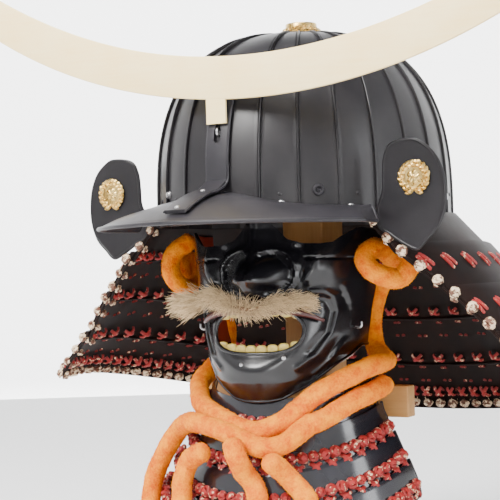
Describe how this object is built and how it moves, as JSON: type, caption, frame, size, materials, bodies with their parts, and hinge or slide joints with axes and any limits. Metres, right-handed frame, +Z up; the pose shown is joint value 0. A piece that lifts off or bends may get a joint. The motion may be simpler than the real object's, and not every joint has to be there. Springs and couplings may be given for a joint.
{
  "type": "samurai helmet with face mask, throat guard and wooden stand",
  "caption": "Ribbed bowl helmet with a peak, crescent crest, laced neck guard, fierce half mask with moustache and velvet cord, on a plain wooden stand.",
  "frame": {"origin": "on the underside of the stand's base, below the middle of the bowl", "axes": "+Z up, the helmet's front towards -Y, the wearer's left towards +X"},
  "size_m": [0.6256, 0.4555, 0.5224],
  "materials": {
    "russet_iron": "matt dark grey lacquered iron",
    "satin_iron": "satin dark grey iron",
    "gilt_metal": "satin gilt",
    "crest_gilt": "pale gold, satin",
    "black_lacquer": "glossy black lacquer",
    "lip_lacquer": "dark red lacquer",
    "tooth_gilt": "pale gilt, satin",
    "moustache_hair": "stiff off-white bristle",
    "orange_velvet": "soft orange pile",
    "pale_wood": "plain, unvarnished"
  },
  "bodies": {
    "root": {"bowl": "russet_iron", "top_ornament": "gilt_metal", "peak": "satin_iron", "crest_bracket": "satin_iron", "crest": "crest_gilt", "neck_lame_1": "russet_iron", "neck_lame_2": "russet_iron", "neck_lame_3": "russet_iron", "neck_lame_4": "russet_iron", "turn_back_left": "satin_iron", "turn_back_right": "satin_iron", "badge_left": "gilt_metal", "badge_right": "gilt_metal", "mask": "black_lacquer", "upper_lip": "lip_lacquer", "lower_teeth": "tooth_gilt", "upper_teeth": "tooth_gilt", "moustache": "moustache_hair", "throat_lame_1": "black_lacquer", "throat_lame_2": "black_lacquer", "throat_lame_3": "black_lacquer", "throat_lame_4": "black_lacquer", "cord_left": "orange_velvet", "cord_left_lower": "orange_velvet", "cord_right": "orange_velvet", "cord_knot": "orange_velvet", "cord_bow": "orange_velvet", "cord_tail_1": "orange_velvet", "cord_tail_2": "orange_velvet", "stand_base": "pale_wood", "stand_post": "pale_wood", "stand_head_block": "pale_wood", "stand_bar": "pale_wood"}
  },
  "joints": []
}
